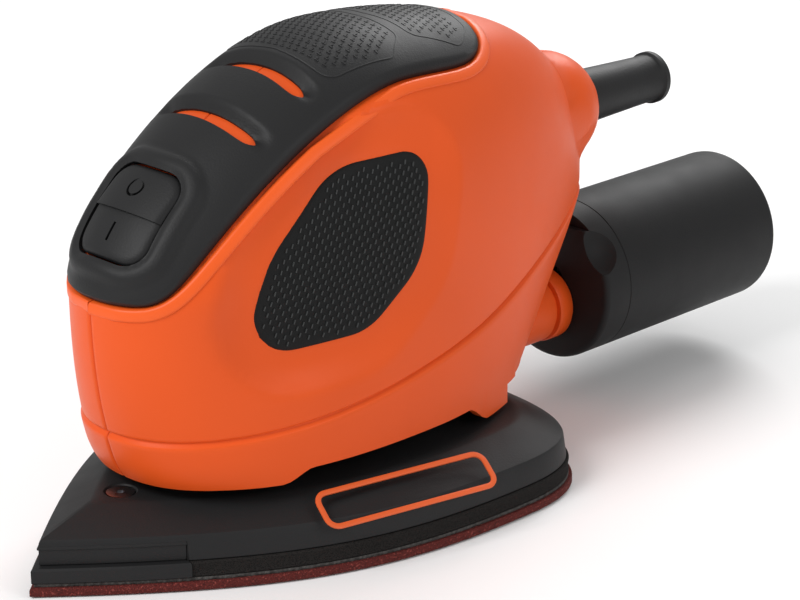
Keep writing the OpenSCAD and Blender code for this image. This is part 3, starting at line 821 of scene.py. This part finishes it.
# %% The cover's grid
edge_steps = np.array([0, 0.12, 0.35, 0.7, 1.2]) / 21
half_columns = np.concatenate([1 - edge_steps, np.linspace(1 - edge_steps[-1], 0, 30)[1:]])
columns = np.concatenate([-half_columns, half_columns[::-1][1:]])
end_steps = np.array([0, 0.12, 0.35, 0.7, 1.2]) / 82
half_rows = np.concatenate([1 - end_steps, np.linspace(1 - end_steps[-1], 0, 90)[1:]])
rows = np.concatenate([-half_rows, half_rows[::-1][1:]])
cover_turn = COVER_MIDDLE + rows * COVER_SPAN
rounding = np.maximum(1 - np.abs(rows) ** 8, 1e-9) ** 0.125
cover_x = columns[:, None] * (cover_side(cover_turn) * rounding)[None]
cover_turns = np.broadcast_to(cover_turn[None], cover_x.shape)
cover_base = over_top(cover_turns, cover_x)
inside = cover_inside(cover_turns, cover_x)
edge_roll = -1.5 + 1.9 * np.sqrt(np.clip(inside / 1.2, 0, 1))
relative = cover_base - ROCKER_AT
rocker_inside = rounded_box_inside(relative[..., 0], relative @ ROCKER_UP, 21.8, 22.8, 5.4)
bezel = 0.9 * soft_step(rocker_inside, -4.6, -2.6) * (1 - soft_step(rocker_inside, -1.2, 0.2))
SLOT_TURNS = [(138.5, 3.4), (120.0, 4.2)]
scoop = np.zeros_like(inside)
for slot_turn, slot_width in SLOT_TURNS:
    arc = (cover_turns - slot_turn) * reach(np.radians(slot_turn)) * math.pi / 180
    behind = 2.5 * (cover_x / 16) ** 2 - slot_width / 2 - arc
    end_fade = 1 - soft_step(np.abs(cover_x), 14.5, 18.5)
    scoop += 1.9 * np.clip(1 - behind / 2.6, 0, 1) * soft_step(behind, 0.4 - slot_width, -0.1) * end_fade
cover_spots = cover_base + (edge_roll + bezel - scoop)[..., None] * outward(cover_base)
print("cover grid", cover_spots.shape)


# %% Slots and window in the cover
def slot_tool(slot_turn, width):
    """A crescent prism, as deep as the cover, whose tips droop towards the front."""
    across = np.sin(np.linspace(-math.pi / 2, math.pi / 2, 45))
    arc = reach(np.radians(slot_turn)) * math.pi / 180
    edges = []
    for sign in (-1, 1):
        degrees = slot_turn + (2.5 * across ** 2 + sign * width * (1 - 0.9 * across ** 16) / 2) / arc
        edges.append([over_top(degrees, 16 * across, np.full(45, depth)) for depth in (-5.0, 5.0)])
    loops = np.stack([edges[0][0], edges[0][1], edges[1][1], edges[1][0], edges[0][0]], 1)
    return close_ends(tidy_normals(grid_piece("slot", loops)))


cover = tidy_normals(grid_piece("cover", cover_spots))
finish_modifier(cover, "SOLIDIFY", thickness=1.3 * MM, offset=-1.0)
for slot_turn, slot_width in SLOT_TURNS:
    cut(cover, slot_tool(slot_turn, slot_width))
cut(cover, rounded_block(21.8, 22.8, 5.4, -12, 12))
print("cover faces", len(cover.data.polygons))

# %% [markdown]
# ### The two textured pads on the cover
# Small raised brackets in staggered rows give the palm some hold, inside a thin raised border. One bracket is
# an L of six points given a thickness, and each copy is laid on the skin where it belongs.


# %% Brackets and borders
def scatter(name, centres, ups, normals, shape, height):
    """Lays one small flat shape, given a thickness, on the skin at each centre."""
    shape = np.array(shape, float)
    count = len(shape)
    rights = np.cross(ups, normals)
    points, faces = [], []
    for k, (centre, up, right, normal) in enumerate(zip(centres, ups, rights, normals)):
        base = centre + shape[:, :1] * right + shape[:, 1:] * up
        inner = centre + 0.82 * shape[:, :1] * right + 0.82 * shape[:, 1:] * up
        points += [base - 0.3 * normal, inner + height * normal]
        start = 2 * count * k
        faces.append([start + count + i for i in range(count)])
        faces.append([start + i for i in reversed(range(count))])
        for i in range(count):
            j = (i + 1) % count
            faces.append([start + i, start + j, start + count + j, start + count + i])
    mesh = bpy.data.meshes.new(name)
    mesh.from_pydata((np.concatenate(points) * MM).tolist(), [], faces)
    piece = bpy.data.objects.new(name, mesh)
    bpy.context.scene.collection.objects.link(piece)
    return tidy_normals(piece)


BRACKET = [(-0.65, -0.65), (0.65, -0.65), (0.65, -0.25), (-0.25, -0.25), (-0.25, 0.65), (-0.65, 0.65)]
PAD_CORNERS = {"front": [(114.5, -17), (112.5, 0), (114.5, 17), (92, 19.2), (84, 14), (84, -14), (92, -19.2)],
               "rear": [(79.5, -14.5), (81, 0), (79.5, 14.5), (64, 18.5), (58, 13), (57.5, 0), (58, -13),
                        (64, -18.5)]}
DEGREE = reach(math.radians(90.0)) * math.pi / 180
pad_pieces = []
for pad, corners in PAD_CORNERS.items():
    flat = [(turn_at * DEGREE, x) for turn_at, x in corners]
    border = evenly(rounded(flat, 3.2), 160)
    border_path = over_top(border[:, 0] / DEGREE, border[:, 1], np.full(160, 0.4))
    pad_pieces.append(bead("border", border_path, outward(border_path),
                           [(-0.2, -0.5), (-0.2, 0.06), (0, 0.12), (0.2, 0.06), (0.2, -0.5)]))
    grid_a, grid_x = np.meshgrid(np.arange(border[:, 0].min(), border[:, 0].max(), 1.9), np.arange(-20, 20.1, 2.1),
                                 indexing="ij")
    grid_x = grid_x + 1.05 * (np.arange(grid_a.shape[0]) % 2)[:, None]
    spots = np.stack([grid_a, grid_x], -1).reshape(-1, 2)
    spots = spots[edge_distance(spots, border) > 1.7]
    centres = over_top(spots[:, 0] / DEGREE, spots[:, 1], np.full(len(spots), 0.4))
    normals = outward(centres)
    forward = np.cross(normals, np.array([1.0, 0, 0]))
    forward /= np.linalg.norm(forward, axis=1, keepdims=True)
    pad_pieces.append(scatter("brackets", centres, forward, normals, BRACKET, 0.12))
    print(pad, "pad brackets", len(spots))
cover = join([cover] + pad_pieces, "cover")
smooth(cover, 35)
give(cover, "black_plastic", "housing", "black_plastic", "top_cover")

# %% [markdown]
# ## The rocker
# The switch is one rocker with an O half above and an I half below. The O half stands a little proud at the
# middle line. Its grid lies on the skin, a wall is added below, and the two generic symbols are cut in.

# %% Rocker
ROCKER_WIDTH, ROCKER_LENGTH, ROCKER_ROUND = 21.0, 22.0, 5.0
across_steps = np.concatenate([[-1, -0.985, -0.95, -0.9], np.linspace(-0.82, 0.82, 25), [0.9, 0.95, 0.985, 1]])
length_steps = np.concatenate([[-1, -0.985, -0.95, -0.9], np.linspace(-0.82, -0.03, 14), [-0.002, 0.0],
                               np.linspace(0.03, 0.82, 14), [0.9, 0.95, 0.985, 1]])
rocker_y = length_steps * ROCKER_LENGTH / 2
overhang = np.maximum(np.abs(rocker_y) - ROCKER_LENGTH / 2 + ROCKER_ROUND, 0)
row_half = ROCKER_WIDTH / 2 - ROCKER_ROUND + np.sqrt(np.maximum(ROCKER_ROUND ** 2 - overhang ** 2, 0))
rocker_x = across_steps[:, None] * row_half[None]
rocker_ys = np.broadcast_to(rocker_y[None], rocker_x.shape)
flat_spots = ROCKER_AT + rocker_x[..., None] * ROCKER_ACROSS + rocker_ys[..., None] * ROCKER_UP
skin_spots = land(flat_spots, ROCKER_OUT, 12.0)
from_edge = rounded_box_inside(rocker_x, rocker_ys, ROCKER_WIDTH, ROCKER_LENGTH, ROCKER_ROUND)
proud = np.where(rocker_ys >= 0, 0.75 * (1 - rocker_ys / 11), -0.05)
rocker_lift = 0.35 + proud - 0.9 * (1 - np.sqrt(np.clip(from_edge / 0.9, 0, 1)))
rocker = tidy_normals(grid_piece("rocker", skin_spots + rocker_lift[..., None] * ROCKER_OUT))
finish_modifier(rocker, "SOLIDIFY", thickness=4.0 * MM, offset=-1.0)


def ring_tool(centre, outer, inner, depth):
    tool = turned("ring", [(-depth, inner), (-depth, outer), (4, outer), (4, inner)], (0, 0, 0), axis="Z", steps=48)
    turn_to_face = Matrix((ROCKER_ACROSS, ROCKER_UP, ROCKER_OUT)).transposed().to_4x4()
    tool.data.transform(turn_to_face)
    tool.data.transform(Matrix.Translation(Vector(centre * MM)))
    return tool


o_spot = land(ROCKER_AT + 5.8 * ROCKER_UP, ROCKER_OUT, 12.0) + 0.35 * ROCKER_OUT
i_spot = land(ROCKER_AT - 5.0 * ROCKER_UP, ROCKER_OUT, 12.0)
cut(rocker, ring_tool(o_spot, 2.3, 1.7, 0.4))
cut(rocker, block(i_spot, (0.7, 4.4, 1.6), (ROCKER_TILT, 0, 0)))
smooth(rocker, 35)
give(rocker, "black_plastic", "rocker", "black_plastic", "switch_rocker")

# %% [markdown]
# ## The side grips
# Each grip is a soft pad set into the shell. Rings shrink from its outline to its middle, so the edge can roll
# down evenly. Short raised dashes in staggered, leaning rows cover it.


# %% Grip pads
def grip_pad(name, node, side):
    middle = grip_outline.mean(0)
    shrink = np.concatenate([[1, 0.995, 0.985, 0.965, 0.94], np.linspace(0.9, 0.0, 16)])
    rings = middle + shrink[None, :, None] * (grip_outline[:, None] - middle)
    rings = np.concatenate([rings, rings[:1]])
    inside = np.maximum(edge_distance(rings, grip_outline), 0)
    roll = -0.5 + 0.8 * np.sqrt(np.clip(inside / 1.0, 0, 1))
    roll[:, 0] = -0.5
    roll += dish(rings[..., 0], rings[..., 1], inside)
    spots = on_side(rings[..., 0], rings[..., 1], roll)
    pad = tidy_normals(grid_piece(name, spots * np.array([side, 1, 1])))
    finish_modifier(pad, "SOLIDIFY", thickness=0.9 * MM, offset=-1.0)
    lean = np.array([0.38, 0.925])
    step = np.array([0.925, -0.38])
    a, b = np.meshgrid(np.arange(-60, 60, 2.5), np.arange(-60, 60, 1.15), indexing="ij")
    a = a + 1.25 * (np.arange(b.shape[1]) % 2)[None]
    places = middle + a[..., None] * lean + b[..., None] * step
    places = places.reshape(-1, 2)
    places = places[edge_distance(places, grip_outline) > 2.0]
    level = 0.3 + dish(places[:, 0], places[:, 1], np.full(len(places), 2.0))
    centres = on_side(places[:, 0], places[:, 1], level)
    normals = outward(centres)
    ups = np.broadcast_to(np.array([0.0, lean[0], lean[1]]), centres.shape)
    ups = ups - (ups * normals).sum(1, keepdims=True) * normals
    ups = ups / np.linalg.norm(ups, axis=1, keepdims=True)
    flip = np.array([side, 1, 1])
    dashes = scatter("dashes", centres * flip, ups * flip, normals * flip,
                     [(-0.16, -0.6), (0.16, -0.6), (0.16, 0.6), (-0.16, 0.6)], 0.26)
    pad.data.materials.append(finishes["grip_rubber"])
    # The dashes take the lighter rubber, which is painted highlight on their raised tops.
    dashes.data.materials.append(finishes["dash_rubber_painted_highlight"])
    pad = join([pad, dashes], name)
    smooth(pad, 40)
    print(name, "dashes", len(places))
    return give(pad, "grip_rubber", "housing", "grip_rubber", node)


grip_pad("grip_left", "grip_pad_left", 1)
grip_pad("grip_right", "grip_pad_right", -1)

# %% [markdown]
# ## The cord sleeve and the dust canister
# Both are turned shapes. The sleeve tapers and ends in a small flare, with the cord's bore down its middle.
# The canister is a smooth matte cup that plugs on to the dust port.

# %% Sleeve, inlet and cup
SLEEVE_Z = (low("cord_sleeve")[2] + high("cord_sleeve")[2]) / 2
CUP_Z = (low("canister_cup")[2] + high("canister_cup")[2]) / 2
CUP_RADIUS = high("canister_cup")[0]
CUP_FRONT = low("canister_cup")[1]
CUP_END = high("canister_cup")[1]
SLEEVE_END = high("cord_sleeve")[1]
sleeve = turned("sleeve", [(66.2, 3.7), (66.2, 6.7), (74.2, 6.7), (74.2, 9.8), (77.0, 9.8), (77.0, 6.9), (92, 6.9),
                           (100, 6.6), (110, 6.25), (117.2, 6.05), (117.6, 6.2), (118.0, 6.7), (119.4, 6.7),
                           (SLEEVE_END, 6.2), (SLEEVE_END, 3.9), (119.3, 3.7)], (0, 0, SLEEVE_Z))
smooth(sleeve, 40)
give(sleeve, "black_rubber", "housing", "black_rubber", "cord_sleeve")

edge = [(CUP_END - 2 + 2 * math.sin(a), CUP_RADIUS - 2 + 2 * math.cos(a)) for a in np.linspace(0, math.pi / 2, 7)]
cup = turned("cup", [(CUP_FRONT, CUP_RADIUS - 1.9), (CUP_FRONT, CUP_RADIUS - 0.3), (CUP_FRONT + 0.3, CUP_RADIUS)]
             + edge + [(CUP_END, 0.001), (CUP_END - 2, 0.001), (CUP_END - 2, CUP_RADIUS - 1.8)], (0, 0, CUP_Z))
smooth(cup, 40)
give(cup, "canister_plastic", "cup", "canister_plastic", "canister_cup")

INLET_FRONT = CUP_FRONT - 9
front_edge = [(INLET_FRONT + 1.5 - 1.5 * math.cos(a), CUP_RADIUS - 1.5 + 1.5 * math.sin(a))
              for a in np.linspace(0, math.pi / 2, 6)]
inlet = turned("inlet", [(INLET_FRONT + 2, 5.5), (INLET_FRONT, 5.5)] + front_edge
               + [(CUP_FRONT - 0.1, CUP_RADIUS), (CUP_FRONT - 0.1, CUP_RADIUS - 1.95),
                  (CUP_FRONT + 3.9, CUP_RADIUS - 1.95), (CUP_FRONT + 3.9, CUP_RADIUS - 3.7),
                  (INLET_FRONT + 2, CUP_RADIUS - 3.7)], (0, 0, CUP_Z))
spigot = turned("spigot", [(70, 5.75), (70, 7.3), (INLET_FRONT + 1, 7.3), (INLET_FRONT + 1, 5.75)], (0, 0, PORT_Z))
for side in (1, -1):
    bpy.ops.object.select_all(action="DESELECT")
    bpy.ops.mesh.primitive_uv_sphere_add(segments=48, ring_count=24, radius=1,
                                         location=[side * 20.5 * MM, (INLET_FRONT - 1) * MM, (CUP_Z + 15) * MM],
                                         scale=(9 * MM, 9.5 * MM, 9 * MM))
    hollow = bpy.context.object
    bpy.ops.object.transform_apply(location=True, rotation=True, scale=True)
    cut(inlet, hollow)
cut(inlet, block((0, INLET_FRONT - 4, 52), (60, 11.6, 11)))
inlet = join([inlet, spigot], "inlet")
smooth(inlet, 40)
give(inlet, "canister_plastic", "canister", "canister_plastic", "canister_inlet")

# %% [markdown]
# ## The base
# The base is a stack that shares one outline: a flat iron with a sharp tip, drawn as two curves a side. Each
# layer is rings of that outline drawn in by its own amount, so its edges can be rounded ring by ring.

# %% Base outline
TIP_Y = -low("sanding_sheet")[1]
REAR_Y = high("sanding_sheet")[1]
BASE_HALF = high("sanding_sheet")[0]
TIP_ANGLE = math.radians(42)
WIDEST_Y = 24


def bend(start, corner, end, full, steps):
    """One stretch of the outline: both ends head for the same corner."""
    t = np.linspace(0, 1, steps, endpoint=False)[:, None]
    b, c = start + full * (corner - start), end + full * (corner - end)
    return start * (1 - t) ** 3 + 3 * b * t * (1 - t) ** 2 + 3 * c * t * t * (1 - t) + end * t ** 3


def base_ring(inset, z, steps=56):
    half = BASE_HALF - inset
    tip = np.array([0, -TIP_Y + inset / math.sin(TIP_ANGLE)])
    shoulder = np.array([half, tip[1] + half / math.tan(TIP_ANGLE)])
    widest = np.array([half, WIDEST_Y])
    back = np.array([0, REAR_Y - inset])
    right = np.concatenate([bend(tip, shoulder, widest, 0.8, steps),
                            bend(widest, np.array([half, back[1]]), back, 0.75, steps), back[None]])
    whole = np.concatenate([right, right[-2:0:-1] * [-1, 1], right[:1]])
    return np.concatenate([whole, np.full((len(whole), 1), z)], 1)


def layer(name, rings, holes=True):
    """A closed solid through rings of (inset, height), from the bottom up, with the dust holes cut in."""
    loops = [base_ring(inset, z) for inset, z in rings]
    bottom_cap = loops[0] * [0.0, 0.0, 1]
    top_cap = loops[-1] * [0.0, 0.0, 1]
    spots = np.stack([bottom_cap] + loops + [top_cap], 1)
    piece = tidy_normals(grid_piece(name, spots))
    if holes:
        for x, y in DUST_HOLES:
            cut(piece, rod((x, y, -1), 4.5, 30, "Z", 40))
    return piece


DUST_HOLES = [(0, -34), (-24, -12), (24, -12), (-30, 14), (30, 14), (-18, 36), (18, 36)]
SHEET_T = high("sanding_sheet")[2]
FOAM_TOP = high("foam_pad")[2]
PLATEN_TOP = high("platen")[2]
PLATEN_EDGE = 12.5
print("base", TIP_Y, REAR_Y, BASE_HALF)

# %% Sheet, hooks and foam
sheet = layer("abrasive_sheet", [(0.5, 0.0), (0.12, 0.1), (0, 0.35), (0, SHEET_T - 0.4), (0.2, SHEET_T)])
smooth(sheet)
give(sheet, "abrasive_cloth", "platen", "abrasive_cloth", "sanding_sheet")
hook_face = layer("hook_face", [(0.9, SHEET_T), (0.8, SHEET_T + 0.2), (0.8, SHEET_T + 0.6), (0.9, SHEET_T + 0.8)])
smooth(hook_face)
give(hook_face, "hook_nylon", "platen", "hook_nylon", "hook_layer")


def split_at(piece, y, keep_front):
    only(piece)
    bpy.ops.object.mode_set(mode="EDIT")
    bpy.ops.mesh.select_all(action="SELECT")
    bpy.ops.mesh.bisect(plane_co=(0, y * MM, 0), plane_no=(0, 1, 0), use_fill=True, clear_outer=keep_front,
                        clear_inner=not keep_front)
    bpy.ops.object.mode_set(mode="OBJECT")
    return tidy_normals(piece)


TIP_LINE = -57.5
foam_pad = layer("foam", [(1.1, SHEET_T + 0.8), (0.8, SHEET_T + 1.2), (1.0, 4.6), (0.8, FOAM_TOP - 0.4),
                          (1.1, FOAM_TOP)])
split_at(foam_pad, TIP_LINE + 0.1, False)
smooth(foam_pad)
give(foam_pad, "pad_foam", "platen", "pad_foam", "foam_pad")

# %% Tip block
upper_band = layer("tip_upper", [(2.2, FOAM_TOP), (2.0, FOAM_TOP + 0.3), (2.0, 10.2), (1.7, 10.4), (1.7, 10.8),
                                 (2.0, 11.0)], holes=False)
lower_ledge = layer("tip_lower", [(0.7, SHEET_T + 0.8), (0.4, SHEET_T + 1.1), (0.4, FOAM_TOP - 0.6),
                                  (0.7, FOAM_TOP - 0.1), (1.4, FOAM_TOP)], holes=False)
split_at(upper_band, TIP_LINE - 0.2, True)
split_at(lower_ledge, TIP_LINE - 0.2, True)
tip_block = join([upper_band, lower_ledge], "tip_block")
smooth(tip_block, 30)
give(tip_block, "black_plastic", "platen", "black_plastic", "tip_holder")

# %% [markdown]
# ### The platen
# The platen's crown slopes up from a crisp edge to a flat top. Each flank has a flat panel cut into it, with a
# plain outline in orange. A round boss carries the bearing, and a countersunk screw holds the tip block.

# %% Platen
FLANK_AT = (40.0, -10.0, 15.0)
FLANK_TURN = math.radians(12)
FLANK_TILT = math.radians(35)
CROWN_INSET = 12
platen = layer("platen_top", [(1.7, FOAM_TOP), (1.4, FOAM_TOP + 0.3), (2.1, PLATEN_EDGE - 0.6),
                              (2.4, PLATEN_EDGE - 0.1), (2.9, PLATEN_EDGE + 0.15), (CROWN_INSET - 0.8, 16.7),
                              (CROWN_INSET, PLATEN_TOP - 0.1), (CROWN_INSET + 1.2, PLATEN_TOP)])
flank_matrix = (Matrix.Translation(Vector(FLANK_AT)) @ Matrix.Rotation(-FLANK_TURN, 4, "Z")
                @ Matrix.Rotation(FLANK_TILT, 4, "Y"))
for side in (1, -1):
    tool = block((0, 0, 10), (26, 48, 20))
    scaled = flank_matrix.copy()
    scaled.translation = Vector(FLANK_AT) * MM
    tool.data.transform(scaled)
    tool.data.transform(Matrix.Diagonal((side, 1, 1, 1)))
    tidy_normals(tool)
    cut(platen, tool)
cut(platen, block((0, TIP_LINE - 100, 0), (200, 200, 22)))
cut(platen, rod((0.75, 0, 12), 15.0, 30, "Z", 64))
cut(platen, turned("sink", [(9, 0.001), (9, 1.8), (15, 1.8), (18, 4.8), (19, 4.8), (19, 0.001)], (0, -59, 0), "Z"))
boss = turned("boss", [(FOAM_TOP, 7.1), (FOAM_TOP, 15.0), (PLATEN_TOP - 0.5, 15.0), (PLATEN_TOP, 14.5),
                       (PLATEN_TOP, 11.1), (9.5, 11.05), (9.5, 7.1)], (0.75, 0, 0), "Z")


def flank_outline(side):
    """A rounded outline lying flat on the flank."""
    corners = [(-4.4, -22), (4.4, -22), (4.4, 22), (-4.4, 22)]
    ring = evenly(rounded(corners, 2.5), 160)
    path = np.array([flank_matrix @ Vector((x + 0.6, y, 0)) for x, y in ring])
    normal = np.array(flank_matrix.to_3x3() @ Vector((0, 0, 1)))
    flip = np.array([side, 1, 1])
    return bead("outline", path * flip, np.broadcast_to(normal * flip, path.shape).copy(),
                [(-0.62, -0.3), (-0.62, 0.1), (-0.5, 0.16), (0.5, 0.16), (0.62, 0.1), (0.62, -0.3)])


outlines = [flank_outline(1), flank_outline(-1)]
for part in (platen, boss):
    part.data.materials.clear()
    part.data.materials.append(finishes["black_plastic"])
for part in outlines:
    part.data.materials.append(finishes["outline_paint"])
platen = join([platen, boss] + outlines, "platen_top")
smooth(platen, 28)
give(platen, "black_plastic", "platen", "black_plastic", "platen")

# %% Rubber legs
leg_low, leg_high = low("rubber_legs")[2], high("rubber_legs")[2]
legs = []
for x, y in [(-12, -43), (12, -43), (-21, 33), (21, 33)]:
    middle = (leg_low + leg_high) / 2
    legs.append(turned("leg", [(leg_low, 0.001), (leg_low, 3.8), (leg_low + 1.5, 4.0), (middle - 3, 3.3),
                               (middle + 3, 3.3), (leg_high - 1.5, 4.0), (leg_high, 3.8), (leg_high, 0.001)],
                       (x, y, 0), "Z", steps=32))
legs = join(legs, "legs")
smooth(legs)
give(legs, "black_rubber", "housing", "black_rubber", "rubber_legs")

# %% [markdown]
# ## The pieces inside
# The motor, fan, bearings, switch and fasteners keep their working shapes. They only get their finishes.

# %% Finishes for the carried-over pieces
inner_finishes = {
    "screw_steel": ["tip_screw", "bearing_screw", "housing_screws", "cord_clamp_screws", "brush_springs"],
    "bearing_steel": ["platen_bearing", "lower_bearing", "upper_bearing", "motor_shaft"],
    "lamination_steel": ["armature_core", "stator_core"],
    "cast_alloy": ["eccentric_hub", "bearing_plate"],
    "copper_wire": ["armature_windings", "field_coils"],
    "copper_bar": ["commutator"],
    "brass_sheet": ["brush_holders"],
    "carbon": ["carbon_brushes"],
    "capacitor_film": ["suppression_capacitor"],
    "filter_felt": ["filter_sleeve"],
    "fan_plastic": ["dust_fan", "fan_shroud"],
    "black_plastic": ["switch_body", "cord_clamp", "filter_frame"],
}
for finish, nodes in inner_finishes.items():
    for node in nodes:
        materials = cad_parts[node].data.materials
        materials.clear()
        materials.append(finishes[finish])
        smooth(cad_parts[node], 30)
print("inner pieces", sum(len(nodes) for nodes in inner_finishes.values()))

# %% [markdown]
# ## The floor
# The floor is a plain pale sheet.

# %% Floor
bpy.ops.object.select_all(action="DESELECT")
bpy.ops.mesh.primitive_plane_add(size=8, location=(0, 0, -0.0003))
floor = bpy.context.object
floor.name = "floor"
floor_finish = Finish("pale_floor", 0.9, specular=0.1)
floor_finish.feed("Base Color", floor_finish.between(floor_finish.noise(200), (0.9, 0.9, 0.9), (0.93, 0.93, 0.93)))
floor.data.materials.append(floor_finish.material)
